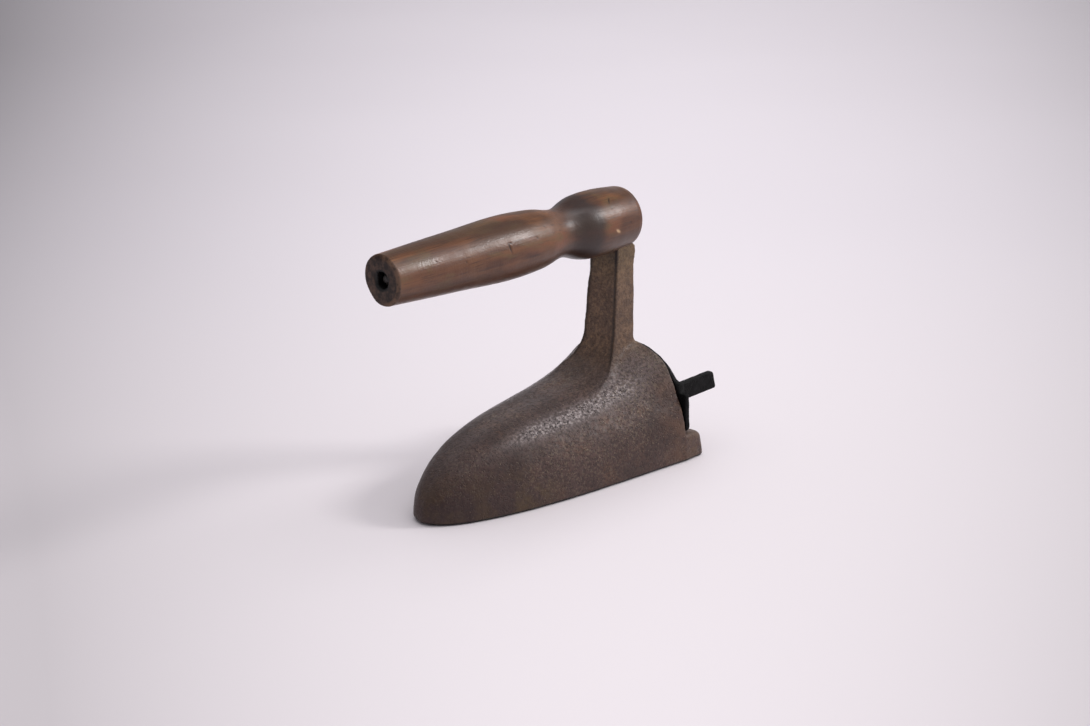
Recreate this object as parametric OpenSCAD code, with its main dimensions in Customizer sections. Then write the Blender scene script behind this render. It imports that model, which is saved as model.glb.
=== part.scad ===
// Slug iron: a hollow bullet-shaped casting with one rear post and a turned
// wooden handle. A heated iron slug slides in at the rear mouth, and a gate
// that swings on one rivet closes it. Millimetres, +Z up, +X towards the nose,
// +Y towards the side that carries the gate's lug. The origin is the centre of
// the sole.

/* [Sole and dome] */
// Length of the sole, from the nose to the end of the heel ledge
sole_l = 160; // [146:1:180]
// Width of the sole at the mouth
sole_w = 91; // [88:1:96]
// Height of the dome at the mouth
mouth_h = 58; // [56:0.5:62]
// How much the plan outline swells beyond a parabola, as a share of its width
plan_swell = 0.18; // [0.12:0.01:0.22]
// Rise of the ridge just behind the nose, as a share of the mouth height
nose_rise = 1.41; // [1.36:0.01:1.46]
// How soon that rise eases off into the long slope, as a share of the mouth height
ridge_ease = 0.9; // [0.84:0.01:0.96]
// Squareness of the arched section, where 2 is an ellipse
section_power = 2.5; // [2.3:0.1:2.8]

/* [Heel ledge] */
// Length of the ledge behind the mouth
heel_l = 14; // [11:0.5:18]
// How far the top of the ledge falls at its outer edge
heel_fall = 2.5; // [1:0.5:4]
// Radius of the ledge's corners in plan
heel_corner_r = 5; // [2:0.5:8]

/* [Slug chamber] */
// Thickness of the sole under the slug, which is also the height of the ledge
floor_t = 14.5; // [12:0.5:16]
// Thickness of the side walls at the mouth
wall_t = 9; // [8.5:0.25:10]
// Height of the chamber at the mouth
chamber_h = 28.5; // [24:0.5:30]
// Solid iron between the chamber and the tip of the nose
nose_t = 22; // [20:1:30]

/* [Slug] */
// Clearance at each side of the slug
slug_side_gap = 2; // [1.5:0.25:3]
// Clearance over the slug
slug_top_gap = 2.2; // [1.5:0.1:4]
// Clearance in front of the slug
slug_front_gap = 2; // [2:0.5:5]
// How far the slug's rear face lies inside the mouth
slug_setback = 5; // [5:0.5:8]
// Clearance between the slug and the chamber floor
slug_seat_gap = 0.3; // [0.1:0.1:0.5]
// Diameter of the eye for the lifting hook
eye_d = 10; // [8:1:14]
// Distance from the slug's rear face to the middle of the eye
eye_in = 13; // [10:1:20]

/* [Post] */
// Width of the post where it meets the dome
post_foot_w = 21.8; // [18:0.2:24]
// Width of the post under the handle
post_head_w = 18.6; // [17:0.2:20]
// Thickness of the post where it meets the dome
post_foot_t = 15.4; // [14:0.2:17]
// Thickness of the post under the handle
post_head_t = 13; // [11:0.2:14]
// How far the foot stands in from the mouth
post_setback = 1.4; // [1.4:0.1:3]
// How far the post leans back over its height
post_lean = 2.6; // [1:0.1:2.6]
// Height of the foot above the mouth's crown
post_foot_rise = 6; // [4:0.5:8]
// Radius of the fillet between the post's front and the ridge
front_fillet_r = 24; // [20:1:28]
// Radius of the flare at the post's sides
side_flare_r = 28; // [22:0.5:35]

/* [Tenon] */
// Width of the tenon inside the handle
tenon_w = 12; // [10:0.5:14]
// Thickness of the tenon
tenon_t = 8; // [7:0.5:9]
// Height of the tenon above the handle's axis
tenon_rise = 5; // [4:0.5:7]
// Clearance in front of and behind the tenon, and under the handle
wood_gap = 0.3; // [0.2:0.05:0.4]

/* [Handle] */
// Length of the handle
handle_l = 164; // [150:1:180]
// Height of the handle's axis at its rear end
handle_h = 123.3; // [120:0.5:128]
// Upward tilt of the handle's axis, in degrees
handle_tilt = 0.9; // [0:0.1:2]
// How far the handle overhangs the mouth at the rear
handle_back = 3; // [2:0.25:5]
// Radius of the handle at its rear end
end_r = 15.7; // [15:0.1:16.5]
// Largest radius of the bulb over the post
bulb_r = 16.8; // [16:0.1:18]
// Radius where the bulb starts to fall to the neck
shoulder_r = 16.1; // [15.5:0.1:16.7]
// Radius of the neck
neck_r = 12.4; // [11.5:0.1:13.5]
// Radius where the grip starts in front of the neck
grip_start_r = 15; // [14:0.1:15.6]
// Largest radius of the grip
grip_r = 16; // [15.2:0.1:17]
// Radius halfway along the taper of the grip
taper_r = 14.5; // [14:0.1:15]
// Radius of the handle at its front end
front_r = 12.4; // [11.5:0.1:13.5]
// Rounding of the rear end's edge
end_round_r = 3.6; // [2:0.1:5]
// Rounding of the front end's edge
front_round_r = 1.2; // [0.6:0.1:2]

/* [Tie rod] */
// Diameter of the rod through the handle
rod_d = 4; // [3.5:0.1:4.4]
// Iron left behind the rod's end in the tenon
rod_heel_t = 1.5; // [1:0.25:2.5]
// Clearance round the rod in the wood
rod_bore_gap = 0.3; // [0.2:0.05:0.4]
// Diameter of the counterbore at the front end
counterbore_d = 8.4; // [8.2:0.1:9.5]
// Depth of the counterbore
counterbore_depth = 9; // [8:0.5:14]
// How far the rod ends inside the front face
rod_recess = 2.5; // [1.5:0.25:3.5]
// Thickness of the nut
nut_t = 3.2; // [2.6:0.1:3.6]
// Clearance between the counterbore's wall and the corners of the nut
nut_gap = 0.2; // [0.1:0.05:0.3]
// Thickness of the washer under the nut
rod_washer_t = 1; // [0.8:0.1:1.4]

/* [Gate] */
// Thickness of the gate
gate_t = 3.25; // [3:0.25:4.5]
// Clearance between the gate and the mouth
gate_gap = 1.1; // [1:0.05:1.3]
// Clearance between the gate and the heel ledge
gate_foot_gap = 0.5; // [0.4:0.1:0.8]
// How far the gate's straight side stops short of the sole's edge, on the lug's side
gate_side_inset = 1.9; // [1:0.1:3]
// How far the gate's arch stops short of the mouth's outer edge
gate_arch_inset = 0.7; // [0.2:0.1:1.5]
// Height of the gate's straight side above the heel ledge, on the lug's side
gate_side_h = 21; // [14:0.5:22]
// Distance from the rivet to the gate's edges, below it and beside it
pivot_edge = 5; // [4.6:0.1:5.4]

/* [Lug] */
// Length of the lug behind the gate
lug_l = 28.5; // [20:0.5:32]
// Thickness of the lug
lug_t = 4; // [3:0.25:5]
// Height of the lug
lug_h = 9.8; // [8:0.2:12]
// Height of the lug's lower edge above the heel ledge
lug_rise = 15.6; // [14:0.2:18]
// How far the lug's outer face stands in from the gate's straight side
lug_inset = 5.8; // [5:0.1:8]
// Slant of the lug's end
lug_slant = 2.2; // [0:0.2:3]
// Radius of the fillets at the lug's root
lug_fillet_r = 1.8; // [1:0.1:2.5]

/* [Gate rivet] */
// Diameter of the rivet
rivet_d = 4; // [3.6:0.1:4.4]
// Depth of the rivet in the casting
rivet_depth = 8; // [6:0.5:10]
// Diameter of the rivet's head
rivet_head_d = 8.4; // [7:0.2:10]
// Height of the rivet's head
rivet_head_h = 2.4; // [1.8:0.1:3]
// Diameter of the washer under the head
gate_washer_d = 9.6; // [9:0.2:10]
// Thickness of the washer
gate_washer_t = 1; // [0.8:0.1:1.5]
// Clearance between the gate and the washer
washer_gap = 0.2; // [0.1:0.05:0.3]
// Radial running clearance of a shank in its hole
fit_gap = 0.05; // [0.03:0.01:0.08]

/* [Hidden] */
$fn = 96;
over = 1;

// Stations along X
nose_x = sole_l / 2;
heel_x = -sole_l / 2;
mouth_x = heel_x + heel_l;
dome_l = nose_x - mouth_x;
chamber_l = dome_l - nose_t;
chamber_half_w = sole_w / 2 - wall_t;
slug_l = chamber_l - slug_setback - slug_front_gap;
slug_half_w = chamber_half_w - slug_side_gap;
slug_h = chamber_h - slug_top_gap;
gate_front_x = mouth_x - gate_gap;
gate_back_x = gate_front_x - gate_t;
washer_x = gate_back_x - washer_gap;
head_x = washer_x - gate_washer_t;

// The rivet's end sits in the middle of the side wall, and the gate's ear is
// round about it, so that it clears the ledge by the same gap closed and open
pivot_z = floor_t + gate_foot_gap + pivot_edge;
pivot_y = -(chamber_half_w + arch_half_w(pivot_z) * plan_share(1 - rivet_depth / dome_l)) / 2;
gate_left_y = sole_w / 2 - gate_side_inset;
gate_foot_z = floor_t + gate_foot_gap;
gate_shoulder_z = floor_t + gate_side_h;
gate_crown_half_w = sole_w / 2 - gate_arch_inset;
gate_crown_z = mouth_h - gate_arch_inset;

// The post's foot and head
foot_z = mouth_h + post_foot_rise;
head_z = handle_h - bulb_r;
post_top_z = handle_h - bulb_r / 2;
post_bottom_z = floor_t + chamber_h;
tenon_x = post_back(head_z) + post_head_t / 2 + post_lean / 2;

// Places along the handle's axis, from its rear end
rod_front = handle_l - rod_recess;
rod_back = tenon_x - tenon_t / 2 + rod_heel_t - (mouth_x - handle_back);
counterbore_at = handle_l - counterbore_depth;
nut_at = counterbore_at + rod_washer_t;
nut_r = counterbore_d / 2 - nut_gap;

// The dome's rings crowd towards the nose, where it curves most
RINGS = 22;
ARCH_STEPS = 32;
RING_CROWDING = 1.8;

function ease(t) = t * t * (3 - 2 * t);

// Half-width and ridge height at a share v of the length behind the nose
function plan_share(v) = sqrt(v) * (1 + plan_swell * ease(1 - v));
function ridge_share(v) =
    sqrt(v) * (nose_rise - ridge_ease * v + (1 - nose_rise + ridge_ease) * pow(v, 4));

// A point of the arched section, from its left foot (0) over the crown to the right (180)
function arch(angle) = [
    sign(cos(angle)) * pow(abs(cos(angle)), 2 / section_power),
    pow(abs(sin(angle)), 2 / section_power)
];

// Half-width of the mouth's outer arch at height z
function arch_half_w(z) = sole_w / 2 * pow(1 - pow(z / mouth_h, section_power), 1 / section_power);

// A closed bullet with a flat base at z = 0 and a flat rear face
module bullet(nose, length, half_w, top_h) {
    shares = [for (i = [1:RINGS]) pow(i / RINGS, RING_CROWDING)];
    points = concat(
        [[nose, 0, 0]],
        [for (v = shares, j = [0:ARCH_STEPS])
            let (a = arch(180 * j / ARCH_STEPS))
            [nose - length * v, half_w * plan_share(v) * a[0], top_h * ridge_share(v) * a[1]]]
    );
    function at(i, j) = 1 + i * (ARCH_STEPS + 1) + j;
    faces = concat(
        [for (j = [0:ARCH_STEPS - 1]) [0, at(0, j + 1), at(0, j)]],
        [[0, at(0, 0), at(0, ARCH_STEPS)]],
        [for (i = [0:RINGS - 2], j = [0:ARCH_STEPS - 1]) [at(i, j), at(i, j + 1), at(i + 1, j + 1)]],
        [for (i = [0:RINGS - 2], j = [0:ARCH_STEPS - 1]) [at(i, j), at(i + 1, j + 1), at(i + 1, j)]],
        [for (i = [0:RINGS - 2])
            [at(i, 0), at(i + 1, 0), at(i + 1, ARCH_STEPS), at(i, ARCH_STEPS)]],
        [[for (j = [0:ARCH_STEPS]) at(RINGS - 1, j)]]
    );
    polyhedron(points, faces);
}

// An outline in X and Z, given a thickness across Y
module across(thickness) {
    rotate([90, 0, 0])
        linear_extrude(thickness, center = true)
            children();
}

// An outline in Y and Z, drawn out along X from x_low to x_high
module along(x_low, x_high) {
    translate([x_low, 0, 0])
        rotate([90, 0, 90])
            linear_extrude(x_high - x_low)
                children();
}

// Children drawn with +Z along the handle's axis, from its rear end
module on_handle_axis() {
    translate([mouth_x - handle_back, 0, handle_h])
        rotate([0, 90 - handle_tilt, 0])
            children();
}

// The post's rear and front face at height z
function post_share(z) = (z - foot_z) / (head_z - foot_z);
function post_back(z) = mouth_x + post_setback - post_lean * post_share(z);
function post_front(z) = post_back(z) + post_foot_t - (post_foot_t - post_head_t) * post_share(z);
function post_half_w(z) = (post_foot_w - (post_foot_w - post_head_w) * post_share(z)) / 2;

// The front fillet leaves the post's front face and ends on the ridge's slope
FRONT_LEAN = atan((post_front(foot_z) - post_front(head_z)) / (head_z - foot_z));
TOE_ANGLE = 50;
TOE_SLOPE = 90 - TOE_ANGLE;
fillet_top_z = foot_z + front_fillet_r / 12;
fillet_centre = [
    post_front(fillet_top_z) + front_fillet_r * cos(FRONT_LEAN),
    fillet_top_z + front_fillet_r * sin(FRONT_LEAN)
];
FILLET_STEPS = 8;
toe = fillet_centre - front_fillet_r * [cos(TOE_ANGLE), sin(TOE_ANGLE)];
toe_drop = toe[1] - post_bottom_z;

module post_side_outline() {
    polygon(concat(
        [
            [post_back(post_bottom_z), post_bottom_z],
            [post_back(post_top_z), post_top_z],
            [post_front(post_top_z), post_top_z]
        ],
        [for (i = [0:FILLET_STEPS])
            let (a = FRONT_LEAN + (TOE_ANGLE - FRONT_LEAN) * i / FILLET_STEPS)
            fillet_centre - front_fillet_r * [cos(a), sin(a)]],
        [[toe[0] + toe_drop / tan(TOE_SLOPE), post_bottom_z]]
    ));
}

module post_front_outline() {
    flare_h = foot_z - post_bottom_z;
    right = concat(
        [[post_half_w(post_top_z), post_top_z]],
        [for (i = [0:FILLET_STEPS])
            let (down = flare_h * i / FILLET_STEPS)
            [
                post_half_w(foot_z) + side_flare_r - sqrt(pow(side_flare_r, 2) - pow(down, 2)),
                foot_z - down
            ]]
    );
    polygon(concat(right, [for (i = [len(right) - 1:-1:0]) [-right[i][0], right[i][1]]]));
}

module post() {
    intersection() {
        across(sole_w)
            post_side_outline();
        along(mouth_x - handle_back, nose_x)
            post_front_outline();
    }
}

module tenon() {
    top = handle_h + tenon_rise;
    bottom = head_z - bulb_r / 2;
    translate([tenon_x - tenon_t / 2, -tenon_w / 2, bottom])
        cube([tenon_t, tenon_w, top - bottom]);
}

// The ledge behind the mouth: level under the gate, then falling to its edge
module heel_ledge() {
    level_x = head_x;
    intersection() {
        across(sole_w)
            polygon([
                [mouth_x + over, 0],
                [mouth_x + over, floor_t],
                [level_x, floor_t],
                [heel_x, floor_t - heel_fall],
                [heel_x, 0]
            ]);
        linear_extrude(mouth_h)
            heel_plan();
    }
}

module heel_plan() {
    half_w = sole_w / 2;
    difference() {
        translate([heel_x, -half_w])
            square([heel_l + over, sole_w]);
        for (side = [-1, 1])
            translate([heel_x, side * half_w])
                difference() {
                    square(2 * heel_corner_r, center = true);
                    translate([heel_corner_r, -side * heel_corner_r])
                        circle(heel_corner_r);
                }
    }
}

module chamber() {
    translate([0, 0, floor_t])
        bullet(nose_x - nose_t, chamber_l, chamber_half_w, chamber_h);
}

// The chamber ends level with the mouth, so this opens it through the mouth's face
module chamber_mouth() {
    along(mouth_x - over, mouth_x + over)
        translate([0, floor_t])
            arch_outline(chamber_half_w, chamber_h);
}

module arch_outline(half_w, top_h) {
    polygon([for (j = [0:ARCH_STEPS])
        let (a = arch(180 * j / ARCH_STEPS))
        [half_w * a[0], top_h * a[1]]]);
}

// A cylinder along X, from x_low to x_high, on the gate's pivot
module on_pivot(x_low, x_high, d) {
    translate([x_low, pivot_y, pivot_z])
        rotate([0, 90, 0])
            cylinder(h = x_high - x_low, d = d);
}

module body() {
    color("#4b3c34")
        difference() {
            union() {
                bullet(nose_x, dome_l, sole_w / 2, mouth_h);
                heel_ledge();
                difference() {
                    post();
                    on_handle_axis()
                        handle_turning(wood_gap);
                }
                tenon();
            }
            chamber();
            on_pivot(mouth_x - over, mouth_x + rivet_depth, rivet_d + 2 * fit_gap);
            on_handle_axis()
                translate([0, 0, rod_back])
                    cylinder(h = 2 * tenon_t, d = rod_d + 2 * fit_gap);
        }
}

module slug() {
    rear_x = mouth_x + slug_setback;
    color("#55504c")
        translate([0, 0, floor_t + slug_seat_gap])
            difference() {
                bullet(rear_x + slug_l, slug_l, slug_half_w, slug_h);
                translate([rear_x + eye_in, 0, -over])
                    cylinder(h = chamber_h, d = eye_d);
            }
}

// The gate's outline in Y and Z: a straight side by the lug, the mouth's arch,
// and an ear that is round about the rivet
module gate_outline() {
    ear_steps = 12;
    ear_z = pivot_z + pivot_edge * sin(45);
    crown = [for (j = [0:ARCH_STEPS])
        let (a = arch(180 * j / ARCH_STEPS), low = j < ARCH_STEPS / 2 ? gate_shoulder_z : ear_z)
        if (gate_crown_z * a[1] > low) [gate_crown_half_w * a[0], gate_crown_z * a[1]]];
    ear = [for (i = [0:ear_steps])
        let (a = 135 + 135 * i / ear_steps)
        [pivot_y + pivot_edge * cos(a), pivot_z + pivot_edge * sin(a)]];
    polygon(concat(
        [[gate_left_y, gate_foot_z], [gate_left_y, gate_shoulder_z]],
        crown,
        ear
    ));
}

// The lug's outline in X and Z, with a fillet above and below its root
module lug_outline() {
    low = floor_t + lug_rise;
    high = low + lug_h;
    tip_x = gate_back_x - lug_l;
    root_x = gate_back_x;
    r = lug_fillet_r;
    polygon(concat(
        [[root_x + gate_t / 2, low - r], [root_x, low - r]],
        [for (a = [0:15:90]) [root_x - r + r * cos(a), low - r + r * sin(a)]],
        [[tip_x, low], [tip_x + lug_slant, high]],
        [for (a = [90:-15:0]) [root_x - r + r * cos(a), high + r - r * sin(a)]],
        [[root_x, high + r], [root_x + gate_t / 2, high + r]]
    ));
}

module gate() {
    color("#1c1b1c")
        difference() {
            union() {
                along(gate_back_x, gate_front_x)
                    gate_outline();
                translate([0, gate_left_y - lug_inset - lug_t / 2, 0])
                    across(lug_t)
                        lug_outline();
            }
            on_pivot(gate_back_x - over, gate_front_x + over, rivet_d + 2 * fit_gap);
        }
}

module gate_rivet() {
    color("#3a3634") {
        on_pivot(head_x, mouth_x + rivet_depth, rivet_d);
        translate([head_x, pivot_y, pivot_z])
            rotate([0, -90, 0])
                rivet_head();
    }
}

// A low dome, as tall as rivet_head_h
module rivet_head() {
    head_r = rivet_head_d / 2;
    ball_r = (pow(head_r, 2) + pow(rivet_head_h, 2)) / (2 * rivet_head_h);
    intersection() {
        cylinder(h = rivet_head_h, r = head_r);
        translate([0, 0, rivet_head_h - ball_r])
            sphere(ball_r);
    }
}

module gate_washer() {
    color("#3a3634")
        difference() {
            on_pivot(head_x, washer_x, gate_washer_d);
            on_pivot(head_x - over, washer_x + over, rivet_d + 2 * fit_gap);
        }
}

// The handle's radius at its stations, each [distance from the rear end, radius]
BULB_AT = 19;
SHOULDER_AT = 34;
NECK_AT = 49.5;
GRIP_START_AT = 66;
GRIP_AT = 88;
TAPER_AT = 120;
STATIONS = [
    [end_round_r, end_r],
    [BULB_AT, bulb_r],
    [SHOULDER_AT, shoulder_r],
    [NECK_AT, neck_r],
    [GRIP_START_AT, grip_start_r],
    [GRIP_AT, grip_r],
    [TAPER_AT, taper_r],
    [handle_l - front_round_r, front_r]
];
SPAN_STEPS = 6;

// The slope of the profile at station k, from its neighbours
function slope(k) =
    let (a = STATIONS[max(k - 1, 0)], b = STATIONS[min(k + 1, len(STATIONS) - 1)])
    (b[1] - a[1]) / (b[0] - a[0]);

// The profile between stations k and k + 1, at a share t of the way
function span_point(k, t) =
    let (a = STATIONS[k], b = STATIONS[k + 1], run = b[0] - a[0])
    [
        a[0] + run * t,
        a[1] + (b[1] - a[1]) * ease(t)
            + run * (slope(k) * t * pow(1 - t, 2) - slope(k + 1) * t * t * (1 - t))
    ];

// The handle's outer shape, made larger all over by grow
module handle_turning(grow) {
    profile = concat(
        [[0, -grow]],
        [for (a = [0:15:75])
            [
                end_r - end_round_r + (end_round_r + grow) * sin(a),
                end_round_r - (end_round_r + grow) * cos(a)
            ]],
        [for (k = [0:len(STATIONS) - 2], i = [0:SPAN_STEPS - 1])
            let (p = span_point(k, i / SPAN_STEPS))
            [p[1] + grow, p[0]]],
        [for (a = [0:15:90])
            [
                front_r - front_round_r + (front_round_r + grow) * cos(a),
                handle_l - front_round_r + (front_round_r + grow) * sin(a)
            ]],
        [[0, handle_l + grow]]
    );
    rotate_extrude()
        polygon(profile);
}

module handle() {
    mortise_t = tenon_t + 2 * wood_gap;
    color("#6b4130")
        difference() {
            on_handle_axis()
                difference() {
                    handle_turning(0);
                    translate([0, 0, rod_back])
                        cylinder(h = handle_l, d = rod_d + 2 * rod_bore_gap);
                    translate([0, 0, counterbore_at])
                        cylinder(h = counterbore_depth + over, d = counterbore_d);
                }
            translate([tenon_x - mortise_t / 2, -tenon_w / 2, handle_h - 2 * bulb_r])
                cube([mortise_t, tenon_w, 2 * bulb_r + tenon_rise + wood_gap]);
        }
}

module tie_rod() {
    color("#3a3634")
        on_handle_axis()
            translate([0, 0, rod_back])
                cylinder(h = rod_front - rod_back, d = rod_d);
}

module rod_washer() {
    color("#3a3634")
        on_handle_axis()
            translate([0, 0, counterbore_at])
                difference() {
                    cylinder(h = rod_washer_t, r = nut_r);
                    translate([0, 0, -over])
                        cylinder(h = rod_washer_t + 2 * over, d = rod_d + 2 * fit_gap);
                }
}

module rod_nut() {
    color("#3a3634")
        on_handle_axis()
            translate([0, 0, nut_at])
                difference() {
                    cylinder(h = nut_t, r = nut_r, $fn = 6);
                    translate([0, 0, -over])
                        cylinder(h = nut_t + 2 * over, d = rod_d + 2 * fit_gap);
                }
}

body();
slug();
gate();
gate_rivet();
gate_washer();
handle();
tie_rod();
rod_washer();
rod_nut();
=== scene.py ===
import itertools
import math

import bmesh
import bpy
import numpy as np
from mathutils import Matrix, Vector


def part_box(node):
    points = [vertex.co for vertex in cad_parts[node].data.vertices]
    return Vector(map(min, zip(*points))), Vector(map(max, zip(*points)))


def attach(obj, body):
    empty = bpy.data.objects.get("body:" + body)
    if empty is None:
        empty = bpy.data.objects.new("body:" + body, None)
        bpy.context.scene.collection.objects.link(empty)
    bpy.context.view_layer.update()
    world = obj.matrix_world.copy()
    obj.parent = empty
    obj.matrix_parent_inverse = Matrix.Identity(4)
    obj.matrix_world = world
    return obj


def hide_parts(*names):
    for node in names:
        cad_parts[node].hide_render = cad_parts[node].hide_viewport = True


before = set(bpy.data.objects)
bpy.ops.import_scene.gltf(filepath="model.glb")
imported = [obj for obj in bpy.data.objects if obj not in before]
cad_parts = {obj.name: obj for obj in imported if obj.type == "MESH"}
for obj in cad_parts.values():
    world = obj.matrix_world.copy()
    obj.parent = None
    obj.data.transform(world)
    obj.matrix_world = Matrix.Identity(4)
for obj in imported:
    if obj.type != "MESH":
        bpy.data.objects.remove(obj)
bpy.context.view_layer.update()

# ---------------------------------------------------------------- sizes, in millimetres
MM = 0.001


def box_mm(node):
    """The lowest and highest corner of a CAD node."""
    return [np.array(corner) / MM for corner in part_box(node)]


body_low, body_high = box_mm("body")
gate_low, gate_high = box_mm("gate")
rivet_low, rivet_high = box_mm("gate_rivet")
washer_low, washer_high = box_mm("gate_washer")
slug_low, slug_high = box_mm("slug")
handle_low, handle_high = box_mm("handle")

# The dome: its plan and ridge are shares of the mouth's size, by the distance behind the nose
PLAN_SWELL = 0.18
NOSE_RISE = 1.41
RIDGE_EASE = 0.9
SECTION_POWER = 2.5
MOUTH_H = 58
GATE_GAP = 1.1
nose_x = body_high[0]
heel_x = body_low[0]
sole_half_w = body_high[1]
mouth_x = gate_high[0] + GATE_GAP
dome_l = nose_x - mouth_x

# The ledge behind the mouth and the chamber inside
FLOOR_T = 14.5
WALL_T = 9
CHAMBER_H = 28.5
NOSE_T = 22
HEEL_FALL = 2.5
HEEL_LOW_CORNER_R = 3
HEEL_HIGH_CORNER_R = 6.5
HEEL_EDGE_R = 2.4
HEEL_OVERLAP = 1
CHAMBER_EDGE_R = 1
chamber_half_w = sole_half_w - WALL_T

# The sole's edge, which is rounder over the last stretch to the nose
SOLE_EDGE_R = 2
NOSE_EDGE_EXTRA_R = 2.5
NOSE_EDGE_L = 16

# The bulge at the left shoulder by the mouth and the hollow below it, by degrees round the dome
SHOULDER_L = 24
SHOULDER_BULGE = 1.9
SHOULDER_TURN = 61
HOLLOW_DEPTH = 0.9
HOLLOW_TURN = 41

# The post, and the fillet at its front
HANDLE_H = 123.3
BULB_R = 16.8
POST_FOOT_RISE = 6
POST_FOOT_W = 21.8
POST_HEAD_W = 18.6
POST_FOOT_T = 15.4
POST_HEAD_T = 13
POST_SETBACK = 1.4
POST_LEAN = 2.6
POST_DISH = 0.6
POST_EDGE_R = 0.5
POST_REAR_EDGE_R = 0.4
POST_STEP = 0.25
POST_STEP_Z = 68
POST_STEP_H = 12
HEAD_FLARE = 1.1
HEAD_FLARE_Z = 97
HEAD_FLARE_H = 9
FRONT_FILLET_R = 24
SIDE_FLARE_R = 28
SIDE_FLARE_H = 16.5
TOE_ANGLE = math.radians(50)
# The fillet between post and dome, and how much wider it runs out low down by the mouth
POST_FILLET_R = 4
RUNOUT_EXTRA_R = 8
RUNOUT_TOP_Z = 60
RUNOUT_FADE_H = 10
RUNOUT_L = 22
RUNOUT_FADE_L = 16
SEAM_R = 0.6
foot_z = MOUTH_H + POST_FOOT_RISE
head_z = HANDLE_H - BULB_R
post_top_z = HANDLE_H - BULB_R / 2

# The gate and its lug
GATE_T = 3.25
GATE_SIDE_H = 21
GATE_ARCH_INSET = 0.7
LUG_T = 4
LUG_H = 9.8
LUG_RISE = 15.3
LUG_INSET = 5.8
LUG_SLANT = 2.2
LUG_EDGE_R = 1.3
LUG_FILLET_R = 3
GATE_EDGE_R = 1
GATE_SHOULDER_R = 1.4
GATE_WORN_R = 3
PIVOT_EDGE = 5
RIVET_R = 2
FIT_GAP = 0.05
pivot_y = (rivet_low[1] + rivet_high[1]) / 2
pivot_z = (rivet_low[2] + rivet_high[2]) / 2

# The slug and the eye for its lifting hook
SLUG_REAR_EDGE_R = 3
SLUG_EDGE_R = 2
EYE_IN = 13
EYE_R = 5

# The handle, along its own axis from its rear end
HANDLE_L = 164
HANDLE_TILT = math.radians(0.9)
HANDLE_BACK = 3
END_ROUND_R = 3.6
FRONT_ROUND_R = 1.2
RIM_WEAR_L = 1.6
RING_GAP = 0.55
# The bulb is a little fuller than its stations, up to its front end
BULB_FULLER = 0.25
BULB_END = 46
BULB_FADE_L = 8
STATIONS = [
    (END_ROUND_R, 15.7),
    (19, BULB_R),
    (34, 16.1),
    (49.5, 12.4),
    (66, 15),
    (88, 16),
    (120, 14.5),
    (HANDLE_L - FRONT_ROUND_R, 12.4),
]
FRONT_AXIS_Z = HANDLE_H + (HANDLE_L - HANDLE_BACK) * math.tan(HANDLE_TILT)
COUNTERBORE_R = 4.2
COUNTERBORE_DEPTH = 9
ROD_R = 2
ROD_RECESS = 2.5
ROD_BORE_GAP = 0.3
WASHER_T = 1
NUT_T = 3.2
NUT_R = 4
# The thread, and how far in the bore is drawn
THREAD_L = 20
THREAD_PITCH = 0.7
THREAD_DEPTH = 0.3
BORE_SHOWN_L = 20


# ---------------------------------------------------------------- solids as distance fields
class Grid:
    """A box of sample points, a step apart. x, y and z broadcast to the whole box."""

    def __init__(self, low, high, step):
        self.low = np.array(low, float)
        self.step = step
        counts = np.ceil((np.array(high, float) - self.low) / step).astype(int) + 1
        axes = [(start + step * np.arange(n)).astype(np.float32) for start, n in zip(self.low, counts)]
        self.x, self.y, self.z = np.meshgrid(*axes, indexing="ij", sparse=True)


def true_distance(field, step):
    """A field with the same zero surface whose values near it are distances."""
    slopes = np.gradient(field, step)
    return field / np.maximum(np.sqrt(sum(slope * slope for slope in slopes)), 1e-6)


def smooth_min(a, b, width):
    """The union of a and b, with a fillet where they meet."""
    share = np.clip(0.5 + 0.5 * (b - a) / width, 0, 1)
    return b + (a - b) * share - width * share * (1 - share)


def smooth_max(a, b, width):
    """The overlap of a and b, with a rounded edge where they meet."""
    return -smooth_min(-a, -b, width)


def ease(t):
    return t * t * (3 - 2 * t)


def eased(offset, length):
    """Rises smoothly from 0 to 1 over a length, from where the offset is 0."""
    return ease(np.clip(offset / length, 0, 1))


def unevenness(grid, size, waves, seed):
    """A smooth random field of about -1 to 1 whose lumps are about size across."""
    rng = np.random.default_rng(seed)
    total = 0
    for _ in range(waves):
        way = rng.normal(size=3)
        way *= 2 * math.pi / (size * rng.uniform(0.7, 1.4)) / np.linalg.norm(way)
        parts = [
            np.exp(1j * along * axis).astype(np.complex64)
            for along, axis in zip(way, (grid.x, grid.y, grid.z))
        ]
        phase = np.complex64(np.exp(1j * rng.uniform(0, 2 * math.pi)))
        total = total + (parts[0] * parts[1] * parts[2] * phase).real
    return total / math.sqrt(waves)


def cast_skin(grid, solid, sink, *layers):
    """Sinks a surface a little and makes it uneven. A layer is (depth, size, waves, seed)."""
    solid = solid + sink
    for depth, size, waves, seed in layers:
        solid = solid + depth * unevenness(grid, size, waves, seed)
    return solid


def plan_share(share):
    return 1 + PLAN_SWELL * ease(1 - share)


def ridge_share(share):
    return NOSE_RISE - RIDGE_EASE * share + (1 - NOSE_RISE + RIDGE_EASE) * share**4


def bullet(grid, nose, length, half_w, top_h, base_z):
    """The dome's shape: a bullet on a flat base that points along +X."""
    v = (nose - grid.x) / length
    share = np.clip(v, 0, 1.1)
    wide = half_w * plan_share(share)
    high = top_h * ridge_share(share)
    ring = (np.abs(grid.y) / wide) ** SECTION_POWER + (np.abs(grid.z - base_z) / high) ** SECTION_POWER
    return true_distance(ring ** (2 / SECTION_POWER) - v, grid.step)


def slanted(offset, edge, step):
    """The distance to an edge that is a function of height, from the offset to it along one axis."""
    slope = np.gradient(edge.ravel(), step).reshape(edge.shape)
    return offset / np.sqrt(1 + slope * slope)


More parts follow.
